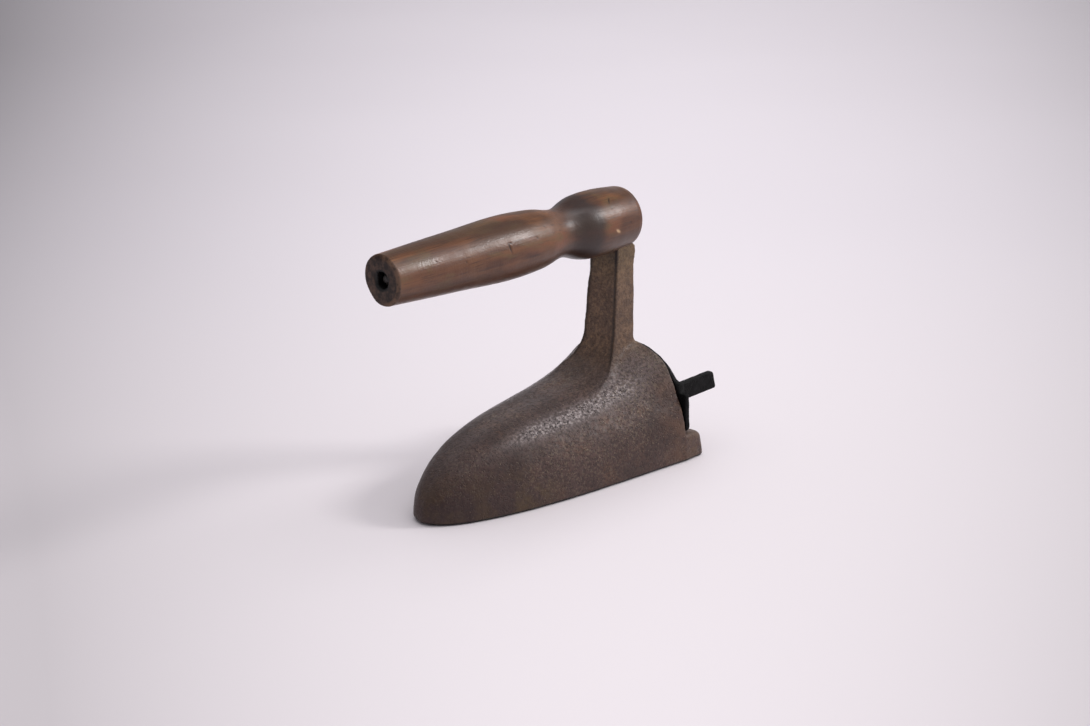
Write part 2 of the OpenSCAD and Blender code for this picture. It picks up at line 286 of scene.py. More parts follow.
def post_front(z):
    """The X of the post's front face, and of the fillet and the toe below it."""
    def face(height):
        rise = (height - foot_z) / (head_z - foot_z)
        return post_rear(height) + POST_FOOT_T - (POST_FOOT_T - POST_HEAD_T) * rise

    lean = math.atan((face(foot_z) - face(head_z)) / (head_z - foot_z))
    top_z = foot_z + FRONT_FILLET_R / 12
    centre_x = face(top_z) + FRONT_FILLET_R * math.cos(lean)
    centre_z = top_z + FRONT_FILLET_R * math.sin(lean)
    toe_x = centre_x - FRONT_FILLET_R * math.cos(TOE_ANGLE)
    toe_z = centre_z - FRONT_FILLET_R * math.sin(TOE_ANGLE)
    arc = centre_x - np.sqrt(np.maximum(FRONT_FILLET_R**2 - (centre_z - z) ** 2, 0))
    toe = toe_x + (toe_z - z) * math.tan(TOE_ANGLE)
    return np.where(z > top_z, face(z), np.where(z > toe_z, arc, toe))


def post_rear(z):
    return mouth_x + POST_SETBACK - POST_LEAN * (z - foot_z) / (head_z - foot_z)


def post_flare(z):
    """How far the post's rear stands out under the handle, above the gate's reach."""
    step = POST_STEP * eased(z - POST_STEP_Z, POST_STEP_H)
    return step + HEAD_FLARE * eased(z - HEAD_FLARE_Z, HEAD_FLARE_H)


def post_half_w(z):
    rise = (z - foot_z) / (head_z - foot_z)
    down = np.clip(foot_z - z, 0, SIDE_FLARE_H)
    flare = SIDE_FLARE_R - np.sqrt(SIDE_FLARE_R**2 - down**2)
    return (POST_FOOT_W - (POST_FOOT_W - POST_HEAD_W) * rise) / 2 + flare


def post(grid):
    # The rear draws in where the head enters the wood
    below_axis = np.hypot(grid.y, grid.z - HANDLE_H)
    drawn_in = HEAD_FLARE * 2 * eased(BULB_R - below_axis, 2)
    back_x = post_rear(grid.z) - post_flare(grid.z) + drawn_in
    front_x = post_front(grid.z)
    half_w = post_half_w(grid.z)
    dish = POST_DISH * np.clip(1 - (grid.y / half_w) ** 4, 0, 1)
    front = slanted(grid.x - front_x, front_x, grid.step) + dish
    sides = slanted(np.abs(grid.y) - half_w, half_w, grid.step)
    solid = smooth_max(smooth_max(front, sides, POST_EDGE_R), back_x - grid.x, POST_REAR_EDGE_R)
    return np.maximum(solid, grid.z - post_top_z)


def heel_ledge(grid):
    level_x = washer_low[0]
    fall = HEEL_FALL * np.clip((level_x - grid.x) / (level_x - heel_x), 0, 1)
    # The sides go on from the dome's, and the corners are rounder at the top than at the sole
    level = np.clip(grid.z, 0, MOUTH_H) / MOUTH_H
    half_w = sole_half_w * (1 - level**SECTION_POWER) ** (1 / SECTION_POWER)
    gain_r = HEEL_HIGH_CORNER_R - HEEL_LOW_CORNER_R
    corner_r = HEEL_LOW_CORNER_R + gain_r * np.clip(grid.z / FLOOR_T, 0, 1)
    past_x = heel_x + corner_r - grid.x
    past_y = np.abs(grid.y) - (half_w - corner_r)
    inner = np.minimum(np.maximum(past_x, past_y), 0)
    plan = np.hypot(np.maximum(past_x, 0), np.maximum(past_y, 0)) + inner
    plan = np.maximum(plan - corner_r, grid.x - mouth_x - HEEL_OVERLAP)
    return smooth_max(plan, grid.z - FLOOR_T + fall, HEEL_EDGE_R)


def mouth_shoulder(grid):
    """How far the dome bulges at its left shoulder by the mouth, less its hollow below."""
    turn = np.degrees(np.arctan2(grid.z, np.abs(grid.y)))
    spread = np.where(turn > SHOULDER_TURN, 16, 9)
    bulge = SHOULDER_BULGE * np.exp(-(((turn - SHOULDER_TURN) / spread) ** 2))
    hollow = HOLLOW_DEPTH * np.exp(-(((turn - HOLLOW_TURN) / 7) ** 2))
    on_side = eased(grid.y, 12)
    return (bulge - hollow) * on_side * ease(np.clip(1 - (grid.x - mouth_x) / SHOULDER_L, 0, 1))


def casting(grid):
    """The whole shell: dome, post and ledge, less the chamber."""
    dome = bullet(grid, nose_x, dome_l, sole_half_w, MOUTH_H, 0) - mouth_shoulder(grid)
    # The post runs out softly into the dome's flanks by the mouth
    low_down = eased(RUNOUT_TOP_Z - grid.z, RUNOUT_FADE_H)
    far_back = eased(mouth_x + RUNOUT_L - grid.x, RUNOUT_FADE_L)
    shell = smooth_min(dome, post(grid), POST_FILLET_R + RUNOUT_EXTRA_R * low_down * far_back)
    # The mouth's plane, which the post leans over
    rear_x = np.minimum(mouth_x, post_rear(grid.z) - HEAD_FLARE - 1)
    shell = smooth_max(shell, rear_x - grid.x, SEAM_R)
    shell = smooth_min(shell, heel_ledge(grid), SEAM_R)
    chamber = bullet(grid, nose_x - NOSE_T, dome_l - NOSE_T, chamber_half_w, CHAMBER_H, FLOOR_T)
    chamber = np.maximum(chamber, FLOOR_T - grid.z)
    shell = smooth_max(shell, -chamber, CHAMBER_EDGE_R)
    shell = cast_skin(grid, shell, 0.12, (0.07, 11, 14, 3), (0.03, 3.6, 14, 5))
    to_nose = np.clip((grid.x - nose_x + NOSE_EDGE_L) / NOSE_EDGE_L, 0, 1)
    edge_r = SOLE_EDGE_R + NOSE_EDGE_EXTRA_R * to_nose**2
    return smooth_max(shell, -grid.z, edge_r)


def gate_plate(grid):
    crown = (np.abs(grid.y) / (sole_half_w - GATE_ARCH_INSET)) ** SECTION_POWER
    crown = crown + (np.abs(grid.z) / (MOUTH_H - GATE_ARCH_INSET)) ** SECTION_POWER
    crown = true_distance((crown ** (1 / SECTION_POWER))[0] - 1, grid.step)[None]
    sides = smooth_max(grid.y - gate_high[1], gate_low[1] - grid.y, GATE_EDGE_R)
    to_pivot = np.hypot(grid.y - pivot_y, grid.z - pivot_z)
    shoulder = smooth_max(sides, grid.z - FLOOR_T - GATE_SIDE_H, GATE_SHOULDER_R)
    ear = np.where(grid.y > pivot_y, shoulder, to_pivot - PIVOT_EDGE)
    outline = smooth_min(smooth_max(crown, sides, GATE_EDGE_R), ear, GATE_EDGE_R)
    # The plate's lower corner on the lug's side is worn round
    foot_r = np.where(grid.y > 0, GATE_WORN_R, GATE_EDGE_R)
    outline = smooth_max(outline, gate_low[2] - grid.z, foot_r)
    corner = np.where((grid.y < pivot_y) & (grid.z < pivot_z), to_pivot - PIVOT_EDGE, -PIVOT_EDGE)
    outline = np.maximum(np.maximum(outline, corner), RIVET_R + FIT_GAP - to_pivot)
    middle_x = gate_high[0] - GATE_T / 2
    return smooth_max(outline, np.abs(grid.x - middle_x) - GATE_T / 2, GATE_EDGE_R)


def gate_lug(grid):
    low_z = FLOOR_T + LUG_RISE
    share = (grid.z - low_z) / LUG_H
    sides = np.abs(grid.y - (gate_high[1] - LUG_INSET - LUG_T / 2)) - LUG_T / 2
    heights = smooth_max(low_z - grid.z, grid.z - low_z - LUG_H, GATE_EDGE_R)
    rear = gate_low[0] + LUG_SLANT * share - grid.x
    lengths = smooth_max(rear, grid.x - gate_high[0] + GATE_T / 2, GATE_EDGE_R)
    return smooth_max(smooth_max(heights, lengths, LUG_EDGE_R), sides, GATE_EDGE_R)


def gate_casting(grid):
    solid = smooth_min(gate_plate(grid), gate_lug(grid), LUG_FILLET_R)
    return cast_skin(grid, solid, 0.08, (0.05, 5, 12, 8))


def slug_block(grid):
    length = slug_high[0] - slug_low[0]
    height = slug_high[2] - slug_low[2]
    solid = bullet(grid, slug_high[0], length, slug_high[1], height, slug_low[2])
    solid = smooth_max(solid, slug_low[0] - grid.x, SLUG_REAR_EDGE_R)
    solid = smooth_max(solid, slug_low[2] - grid.z, SLUG_EDGE_R)
    eye = np.hypot(grid.x - slug_low[0] - EYE_IN, grid.y) - EYE_R
    solid = smooth_max(solid, -eye, SLUG_EDGE_R)
    return cast_skin(grid, solid, 0.15, (0.1, 8, 12, 13))


def sampled(field, grid, points):
    """The field's values at free points, by straight interpolation."""
    place = (points - grid.low) / grid.step
    cell = np.clip(np.floor(place).astype(int), 0, np.array(field.shape) - 2)
    part = place - cell
    total = np.zeros(len(points))
    for corner in itertools.product((0, 1), repeat=3):
        weight = np.prod(np.where(corner, part, 1 - part), axis=1)
        total += weight * field[tuple((cell + corner).T)]
    return total


def settle(points, field, grid):
    """Moves points that lie near the zero surface onto it."""
    reach = grid.step / 2
    for _ in range(2):
        value = sampled(field, grid, points)
        slope = np.stack([
            sampled(field, grid, points + reach * axis) - sampled(field, grid, points - reach * axis)
            for axis in np.eye(3)
        ], axis=1) / (2 * reach)
        shift = slope * (value / np.maximum((slope * slope).sum(1), 0.2))[:, None]
        points = points - np.clip(shift, -reach, reach)
    return points


def skin(field, grid):
    """Surface nets: a point in each cell that the surface crosses, and a quad across each crossed edge."""
    inside = field < 0
    cells = tuple(n - 1 for n in field.shape)
    corners = list(itertools.product((0, 1), repeat=3))

    def at_corner(array, corner):
        return array[tuple(slice(start, start + n) for start, n in zip(corner, cells))]

    filled = sum(at_corner(inside, corner).astype(np.int8) for corner in corners)
    crossed = (filled > 0) & (filled < 8)
    number = np.full(cells, -1, np.int64)
    number[crossed] = np.arange(crossed.sum())
    values = {corner: at_corner(field, corner)[crossed] for corner in corners}
    place = np.zeros((crossed.sum(), 3))
    hits = np.zeros(crossed.sum())
    for a, b in itertools.combinations(corners, 2):
        if np.abs(np.subtract(a, b)).sum() != 1:
            continue
        cut = (values[a] < 0) != (values[b] < 0)
        share = values[a][cut] / (values[a][cut] - values[b][cut])
        place[cut] += np.array(a) + share[:, None] * np.subtract(b, a)
        hits[cut] += 1
    points = grid.low + grid.step * (np.argwhere(crossed) + place / hits[:, None])

    faces = []
    for axis in range(3):
        one, two = np.eye(3, dtype=int)[[(axis + 1) % 3, (axis + 2) % 3]]
        starts = [slice(1, -1)] * 3
        ends = [slice(1, -1)] * 3
        starts[axis] = slice(0, -1)
        ends[axis] = slice(1, None)
        start_in = inside[tuple(starts)]
        edges = np.argwhere(start_in != inside[tuple(ends)])
        outward = start_in[tuple(edges.T)]
        base = edges + one + two
        shifts = (one + two, two, 0 * one, one)
        quad = np.stack([number[tuple((base - shift).T)] for shift in shifts], axis=1)
        faces.append(np.where(outward[:, None], quad, quad[:, ::-1]))
    return settle(points, field, grid), np.concatenate(faces)


def new_piece(name, points, faces, body, nodes):
    """A smooth-shaded mesh object that rides on a body and stands for CAD nodes."""
    mesh = bpy.data.meshes.new(name)
    mesh.from_pydata((np.asarray(points) * MM).tolist(), [], [list(face) for face in faces])
    mesh.shade_smooth()
    piece = bpy.data.objects.new(name, mesh)
    bpy.context.scene.collection.objects.link(piece)
    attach(piece, body)
    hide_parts(*nodes)
    return piece


def cast_piece(name, make_field, low, high, step, body, nodes):
    """A piece whose surface is the zero surface of a field."""
    margin = 3 * step
    grid = Grid(np.array(low) - margin, np.array(high) + margin, step)
    points, faces = skin(make_field(grid), grid)
    return new_piece(name, points, faces.tolist(), body, nodes)


# ---------------------------------------------------------------- turned pieces
def turned(name, profile, segments, place, body, nodes, reshape=None):
    """A lathe form from (distance along the axis, radius) points. place puts its axis, from +Z."""
    along = np.array([point[0] for point in profile], float)[:, None]
    radius = np.array([point[1] for point in profile], float)[:, None]
    angle = 2 * math.pi * np.arange(segments)[None, :] / segments
    if reshape:
        along, radius = reshape(along, radius, angle)
    along = np.broadcast_to(along, (len(profile), segments))
    radius = np.broadcast_to(radius, (len(profile), segments))
    local = np.stack([radius * np.cos(angle), radius * np.sin(angle), along], axis=-1).reshape(-1, 3)
    turn = np.array(place)
    points = local @ turn[:3, :3].T + turn[:3, 3]
    faces = []
    for ring in range(len(profile) - 1):
        start = ring * segments
        for i in range(segments):
            j = (i + 1) % segments
            faces.append((start + i, start + j, start + segments + j, start + segments + i))
    faces.append(tuple(range(segments - 1, -1, -1)))
    last = (len(profile) - 1) * segments
    faces.append(tuple(range(last, last + segments)))
    return new_piece(name, points, faces, body, nodes)


def along_x(x, y, z, backwards=False):
    """Puts a lathe's axis along +X, or along -X, from a point in millimetres."""
    turn = Matrix.Rotation(math.radians(-90 if backwards else 90), 4, "Y")
    return Matrix.Translation((x, y, z)) @ turn


def handle_place():
    turn = Matrix.Rotation(math.pi / 2 - HANDLE_TILT, 4, "Y")
    return Matrix.Translation((mouth_x - HANDLE_BACK, 0, HANDLE_H)) @ turn


def station_slope(k):
    before = STATIONS[max(k - 1, 0)]
    after = STATIONS[min(k + 1, len(STATIONS) - 1)]
    return (after[1] - before[1]) / (after[0] - before[0])


def handle_radius(s):
    """The handle's radius at a distance s from its rear end."""
    k = 0
    while k < len(STATIONS) - 2 and s > STATIONS[k + 1][0]:
        k += 1
    (s_low, r_low), (s_high, r_high) = STATIONS[k], STATIONS[k + 1]
    run = s_high - s_low
    t = (s - s_low) / run
    bend = station_slope(k) * t * (1 - t) ** 2 - station_slope(k + 1) * t * t * (1 - t)
    return r_low + (r_high - r_low) * ease(t) + run * bend


def corner_arc(centre_s, centre_r, radius, start, end, steps):
    """Points of a rounded corner, by angle from the axis's own direction."""
    angles = np.radians(np.linspace(start, end, steps))
    return [(centre_s + radius * math.cos(a), centre_r + radius * math.sin(a)) for a in angles]


def handle_profile():
    end_r = STATIONS[0][1]
    front_r = STATIONS[-1][1]
    front_round_s = HANDLE_L - FRONT_ROUND_R
    face_r = front_r - FRONT_ROUND_R
    floor_s = HANDLE_L - COUNTERBORE_DEPTH
    rings = np.arange(END_ROUND_R + RING_GAP, front_round_s, RING_GAP)
    profile = [(0, r) for r in np.linspace(0.5, end_r - END_ROUND_R - 0.3, 14)]
    profile += corner_arc(END_ROUND_R, end_r - END_ROUND_R, END_ROUND_R, 180, 90, 9)
    profile += [(s, handle_radius(s)) for s in rings]
    profile += corner_arc(front_round_s, face_r, FRONT_ROUND_R, 90, 0, 6)
    profile += [(HANDLE_L, r) for r in np.linspace(face_r - 0.5, COUNTERBORE_R + 0.9, 12)]
    profile += [(HANDLE_L - 0.15, COUNTERBORE_R + 0.35), (HANDLE_L - 0.5, COUNTERBORE_R)]
    profile += [(s, COUNTERBORE_R) for s in np.linspace(HANDLE_L - 1.2, floor_s + 0.1, 10)]
    bore_r = ROD_R + ROD_BORE_GAP
    return profile + [(floor_s, COUNTERBORE_R), (floor_s, bore_r), (floor_s - BORE_SHOWN_L, bore_r)]


# Marks on the wood: distance from the rear end, angle from +Y towards +Z, half length
# and half width in millimetres, slant from the axis in degrees, depth
NICKS = [
    (96.0, 16, 2.2, 0.3, 78, 0.5),
    (95.2, 24, 0.7, 0.3, 20, 0.3),
    (77.1, 21, 0.8, 0.3, 60, 0.25),
    (21.9, 51, 1.7, 0.3, 126, 0.45),
    (22.8, 37, 0.45, 0.4, 0, 0.2),
    (123.6, 12, 0.6, 0.3, 70, 0.2),
    (69.6, 38, 0.6, 0.3, 30, 0.2),
    (12.1, 5, 0.7, 0.35, 15, 0.2),
    (140.6, 28, 0.5, 0.3, 60, 0.2),
]
CHIPS = [
    (21.7, -4.7, 1.3, 0.55, 32, 0.3),
]


def angle_from(angle, degrees):
    """The turn from degrees given from +Y towards +Z. The lathe's angle runs from -Z through +Y."""
    return np.mod(angle - math.radians(90 + degrees) + math.pi, 2 * math.pi) - math.pi


def mark_depth(marks, along, radius, angle):
    """How deep each mark cuts, by place on the handle."""
    depth = 0
    for s, degrees, half_l, half_w, slant, most in marks:
        off_s = along - s
        off_round = angle_from(angle, degrees) * radius
        turn = math.radians(slant)
        length = off_s * math.cos(turn) + off_round * math.sin(turn)
        width = off_round * math.cos(turn) - off_s * math.sin(turn)
        depth = depth + most * np.exp(-((length / half_l) ** 2) - (width / half_w) ** 2)
    return depth


def bump_at(angle, degrees, half_width):
    """A smooth bump of 1 at an angle round the axis."""
    return np.exp(-((angle_from(angle, degrees) / math.radians(half_width)) ** 2))


def worn_handle(along, radius, angle):
    """Tool waves, the marks, a front rim worn away mostly on one side and a ragged hole."""
    between_ends = (along > END_ROUND_R) & (along < HANDLE_L - FRONT_ROUND_R)
    outer = between_ends & (radius > COUNTERBORE_R + 5)
    wave = 0.012 * np.sin(along * 0.9 + 2 * np.sin(angle)) + 0.03 * np.sin(along * 0.12 + 2 * angle)
    cut = mark_depth(NICKS, along, radius, angle) + mark_depth(CHIPS, along, radius, angle)
    loss = np.where(outer, 0.05 + wave + cut, 0)
    # How near a point is to the front face, and how far out it is between the hole and the rim
    near = np.clip(1 - (HANDLE_L - along) / RIM_WEAR_L, 0, 1)
    out = np.clip((radius - COUNTERBORE_R) / (STATIONS[-1][1] - COUNTERBORE_R), 0, 1)
    rim = 0.15 * bump_at(angle, 180, 50) + 1.15 * bump_at(angle, -145, 32)
    rim = rim + 0.4 * bump_at(angle, -50, 12)
    loss = loss + near * out * (rim + 0.1 + 0.1 * np.sin(7 * angle + 1))
    ragged = 0.2 + 1.3 * bump_at(angle, 172, 34)
    ragged = ragged + 0.14 * np.sin(5 * angle + 1.7) + 0.1 * np.sin(9 * angle)
    wall = radius > COUNTERBORE_R - 0.1
    fuller = BULB_FULLER * eased(BULB_END - along, BULB_FADE_L) * outer
    return along + 0 * angle, radius + fuller - loss + wall * near * (1 - out) * ragged


def add_marks(piece, segments):
    """Keeps the marks' depths on the handle's points, for its material."""
    profile = handle_profile()
    along = np.array([point[0] for point in profile])[:, None]
    radius = np.array([point[1] for point in profile])[:, None]
    angle = 2 * math.pi * np.arange(segments)[None, :] / segments
    for name, marks in (("nick", NICKS), ("chip", CHIPS)):
        deepest = max(mark[5] for mark in marks)
        values = np.clip(mark_depth(marks, along, radius, angle) / deepest * 2, 0, 1) + 0 * angle
        values = values * ((radius > 10) & (along > 1) & (along < HANDLE_L - 1))
        keep(piece, name, values)


def thread(along, radius, angle):
    """A V thread over the front stretch of the rod."""
    threaded = (along > HANDLE_L - THREAD_L) & (radius > ROD_R - 0.01)
    turn = np.mod(along / THREAD_PITCH - angle / (2 * math.pi), 1)
    cut = THREAD_DEPTH * np.abs(2 * turn - 1) * threaded
    return along + 0 * angle, radius - cut


def hexagonal(corner_r):
    """Trims a turned blank to a hexagon, and leaves its chamfers."""
    def reshape(along, radius, angle):
        flat = np.mod(angle + math.pi / 6, math.pi / 3) - math.pi / 6
        hexagon = corner_r * math.cos(math.pi / 6) / np.cos(flat)
        return along + 0 * angle, np.where(radius > ROD_R + 0.3, np.minimum(radius, hexagon), radius)
    return reshape


def hammered(along, radius, angle):
    """The rivet's head, a little flattened by the hammer."""
    facets = 0.12 * np.cos(5 * angle + 0.7) * np.clip(along - 0.6, 0, 1)
    return along - np.abs(facets), radius - np.abs(facets)


# ---------------------------------------------------------------- materials
# Colours are linear red, green and blue
RUBBED_METAL_SHEEN = (0.27, 0.225, 0.22)
PAINTED_GLINT = (0.52, 0.47, 0.45)
MOUTH_RUST = (0.19, 0.088, 0.046)
LOW_FLANK = (0.045, 0.027, 0.025)
NOSE_OLIVE = (0.1, 0.062, 0.026)
HEEL_BROWN = (0.1, 0.076, 0.042)
NOSE_PATCH_AND_SHADE = (0.034, 0.016, 0.015)
POST_DARK = (0.135, 0.08, 0.052)
POST_LIGHT = (0.28, 0.17, 0.1)
POST_OCHRE_AND_HIGHLIGHT = (0.26, 0.18, 0.075)
POST_SPECK = (0.34, 0.25, 0.16)
POST_PIT = (0.05, 0.028, 0.02)
POST_SIDE_SHADE = (0.06, 0.037, 0.024)
PAINTED_POST_SHADE = (0.02, 0.011, 0.009)
PAINTED_SOLE_SHADOW = (0.008, 0.006, 0.006)
WOOD_DARK = (0.066, 0.022, 0.01)
WOOD_LIGHT = (0.165, 0.062, 0.023)
WOOD_BLOTCH = (0.2, 0.085, 0.03)
WOOD_PORE = (0.03, 0.013, 0.009)
WOOD_RED = (0.2, 0.07, 0.028)
WOOD_OLIVE = (0.125, 0.075, 0.027)
WOOD_DUSKY = (0.055, 0.028, 0.016)
PAINTED_UNDERSIDE_SHADE = (0.035, 0.018, 0.013)
SCORCH = (0.022, 0.012, 0.011)
END_GRAIN_DARK = (0.02, 0.012, 0.01)
END_GRAIN_LIGHT = (0.1, 0.058, 0.042)
WORN_BEVEL = (0.16, 0.09, 0.055)
PAINTED_BORE_SHADE = (0.004, 0.003, 0.003)
NICK = (0.006, 0.003, 0.002)
CHIP = (0.55, 0.36, 0.2)


def shade(colour, share):
    return tuple(c * share for c in colour)


class Nodes:
    """Builds one material's node tree."""

    def __init__(self, name):
        self.material = bpy.data.materials.new(name)
        self.material.use_nodes = True
        self.tree = self.material.node_tree
        self.shader = self.tree.nodes["Principled BSDF"]
        self.place = self.add("ShaderNodeTexCoord").outputs["Object"]

    def add(self, kind, inputs=None, **settings):
        node = self.tree.nodes.new(kind)
        for key, value in settings.items():
            setattr(node, key, value)
        for key, value in (inputs or {}).items():
            self.put(node.inputs[key], value)
        return node

    def put(self, socket, value):
        """Links an output to the socket, or sets a plain value."""
        if isinstance(value, bpy.types.NodeSocket):
            self.tree.links.new(value, socket)
        else:
            socket.default_value = value

    def stretched(self, scale):
        """The place, scaled along X, Y and Z."""
        return self.add("ShaderNodeMapping", {"Vector": self.place, "Scale": scale}).outputs["Vector"]

    def noise(self, scale, detail=2.0, roughness=0.5, vector=None, distortion=0.0):
        inputs = {
            "Vector": vector or self.place,
            "Scale": scale,
            "Detail": detail,
            "Roughness": roughness,
            "Distortion": distortion,
        }
        return self.add("ShaderNodeTexNoise", inputs).outputs["Fac"]

    def cells(self, scale, vector=None):
        inputs = {"Vector": vector or self.place, "Scale": scale}
        return self.add("ShaderNodeTexVoronoi", inputs).outputs["Distance"]

    def ramp(self, value, low, high, start=0.0, end=1.0):
        """Maps low..high to start..end, smoothly and with limits."""
        inputs = {"Value": value, "From Min": low, "From Max": high, "To Min": start, "To Max": end}
        return self.add("ShaderNodeMapRange", inputs, interpolation_type="SMOOTHSTEP").outputs["Result"]

    def math(self, operation, a, b):
        return self.add("ShaderNodeMath", {0: a, 1: b}, operation=operation).outputs[0]

    def times(self, a, b):
        return self.math("MULTIPLY", a, b)

    def mix(self, share, a, b):
        """A blend of two colours, each (r, g, b) or an output."""
        node = self.add("ShaderNodeMix", data_type="RGBA")
        self.put(node.inputs["Factor"], share)
        for key, value in (("A", a), ("B", b)):
            socket = [s for s in node.inputs if s.name == key and s.type == "RGBA"][0]
            self.put(socket, value if isinstance(value, bpy.types.NodeSocket) else (*value, 1))
        return [s for s in node.outputs if s.type == "RGBA"][0]

    def axis(self, name):
        return self.add("ShaderNodeSeparateXYZ", {"Vector": self.place}).outputs[name]

    def dot(self, way):
        inputs = {0: self.place, 1: way}
        return self.add("ShaderNodeVectorMath", inputs, operation="DOT_PRODUCT").outputs["Value"]

    def normal(self, name):
        geometry = self.add("ShaderNodeNewGeometry").outputs["Normal"]
        return self.add("ShaderNodeSeparateXYZ", {"Vector": geometry}).outputs[name]

    def attribute(self, name):
        return self.add("ShaderNodeAttribute", attribute_name=name).outputs["Fac"]

    def bump(self, height, distance, strength=1.0, under=None):
        inputs = {"Height": height, "Distance": distance, "Strength": strength}
        if under:
            inputs["Normal"] = under
        return self.add("ShaderNodeBump", inputs).outputs["Normal"]

    def finish(self, **inputs):
        for key, value in inputs.items():
            name = key.replace("_", " ")
            self.put(self.shader.inputs[name], (*value, 1) if isinstance(value, tuple) else value)
        return self.material


def cast_iron(name, dark, mid, rust, speck, roughness, gloss):
    """Rough old casting: brown patches, rust, pale grains, dust, dark pits, and a rubbed band that is
    partly wear and partly a painted sheen, with painted glints.
    """
    n = Nodes(name)
    wear_sheen = n.attribute("wear_sheen")
    patches = n.ramp(n.noise(38, 5, 0.62), 0.34, 0.68)
    grain = n.noise(620, 3, 0.65)
    colour = n.mix(patches, dark, mid)
    rusty = n.ramp(n.noise(70, 4, 0.65), 0.5, 0.72, 0, 0.7)
    colour = n.mix(rusty, colour, rust)
    # The rubbed band: partly wear, and partly a painted sheen that lightens the colour
    colour = n.mix(n.times(wear_sheen, 0.85), colour, RUBBED_METAL_SHEEN)
    colour = n.mix(n.ramp(grain, 0.4, 0.56, 0.6, 0), colour, shade(dark, 0.4))
    # Painted glints in the rubbed band
    painted_glints = n.times(n.ramp(grain, 0.52, 0.66, 0, 0.7), n.ramp(wear_sheen, 0.3, 0.9))
    colour = n.mix(painted_glints, colour, PAINTED_GLINT)
    dust = n.ramp(n.noise(820, 1.5), 0.53, 0.64, 0, 0.5)
    dust = n.times(dust, n.ramp(n.noise(34, 3), 0.4, 0.6, 0.25, 1))
    colour = n.mix(dust, colour, shade(speck, 0.5))
    pits = n.times(n.ramp(n.cells(860), 0.46, 0.3), n.ramp(n.noise(420, 1), 0.4, 0.5))
    shown = n.times(pits, n.ramp(wear_sheen, 0.4, 0.9, 0.12, 0.95))
    colour = n.mix(shown, colour, shade(dark, 0.25))
    specks = n.times(n.ramp(n.cells(640), 0.2, 0.08), n.ramp(n.noise(240, 2), 0.5, 0.6))
    colour = n.mix(n.times(specks, 0.75), colour, speck)
    relief = n.bump(pits, -0.0003, 0.6)
    relief = n.bump(grain, 0.0003, n.ramp(wear_sheen, 0, 1, 0.4, 0.9), relief)
    relief = n.bump(n.noise(210, 3, 0.6), 0.0003, 0.3, relief)
    worn = n.ramp(wear_sheen, 0, 1, roughness, roughness - 0.12)
    rough = n.math("ADD", worn, n.ramp(n.noise(420, 3), 0.3, 0.7, -0.05, 0.1))
    return n, colour, {"Roughness": rough, "Normal": relief, "Specular_IOR_Level": gloss}


def plain_iron(name, **look):
    n, colour, rest = cast_iron(name, **look)
    return n.finish(Base_Color=colour, **rest)


def post_colour(n, y, z):
    """Brown with pale specks and dark pits, ochre under the handle that is partly a painted highlight, and
    darker on the near side face as painted shade.
    """
    brown = n.mix(n.ramp(n.noise(260, 4, 0.7), 0.36, 0.66), POST_DARK, POST_LIGHT)
    # Ochre towards the top, partly a painted highlight
    brown = n.mix(n.ramp(z, 0.086, 0.108, 0, 0.5), brown, POST_OCHRE_AND_HIGHLIGHT)
    brown = n.mix(n.times(n.ramp(n.cells(700), 0.26, 0.1), 0.6), brown, POST_SPECK)
    brown = n.mix(n.ramp(n.noise(680, 2), 0.4, 0.52, 0.5, 0), brown, POST_PIT)
    # Darker on the near side face: painted shade
    return n.mix(n.ramp(y, 0.0076, 0.0092, 0, 0.3), brown, POST_SIDE_SHADE)


def shell_iron(name, **look):
    """The shell's iron: rusty low by the mouth, dark low on the flank, darker at the nose (a dark patch
    and painted shade), olive low near the nose, browner on the post, with painted shade by the post and
    sole."""
    n, colour, rest = cast_iron(name, **look)
    x, y, z = (n.axis(axis) for axis in "XYZ")
    mouth = mouth_x * MM
    nose = nose_x * MM
    uneven = n.ramp(n.noise(90, 4, 0.65), 0.38, 0.64)
    by_mouth = n.times(n.ramp(x, mouth + 0.02, mouth + 0.002, 0, 0.45), n.ramp(z, 0.046, 0.034))
    colour = n.mix(n.times(by_mouth, uneven), colour, MOUTH_RUST)
    colour = n.mix(n.ramp(z, 0.034, 0.012, 0, 0.35), colour, LOW_FLANK)
    low = n.times(n.ramp(z, 0.03, 0.006, 0, 0.6), n.ramp(n.noise(60, 3, 0.6), 0.42, 0.58))
    low = n.times(low, n.ramp(x, nose - 0.07, nose - 0.05))
    colour = n.mix(low, colour, NOSE_OLIVE)
    heel = n.times(n.ramp(x, mouth + 0.012, mouth - 0.006, 0, 0.3), uneven)
    colour = n.mix(heel, colour, HEEL_BROWN)
    # Darker towards the nose: a dark patch, and painted shade where the nose faces away from the lamps
    colour = n.mix(n.ramp(x, nose - 0.06, nose - 0.015, 0, 0.45), colour, NOSE_PATCH_AND_SHADE)
    on_post = n.ramp(n.math("ABSOLUTE", y, 0), 0.018, 0.012)
    on_post = n.times(n.ramp(z, 0.04, 0.062, 0, 0.8), on_post)
    colour = n.mix(on_post, colour, post_colour(n, y, z))
    # Painted shade beside the post's front edges and a painted shadow under the handle, with some stain
    colour = n.mix(n.times(n.attribute("post_shade"), 0.7), colour, PAINTED_POST_SHADE)
    # Painted contact shadow along the sole's edge
    colour = n.mix(n.ramp(z, 0.0016, 0.0009, 0, 0.92), colour, PAINTED_SOLE_SHADOW)
    return n.finish(Base_Color=colour, **rest)


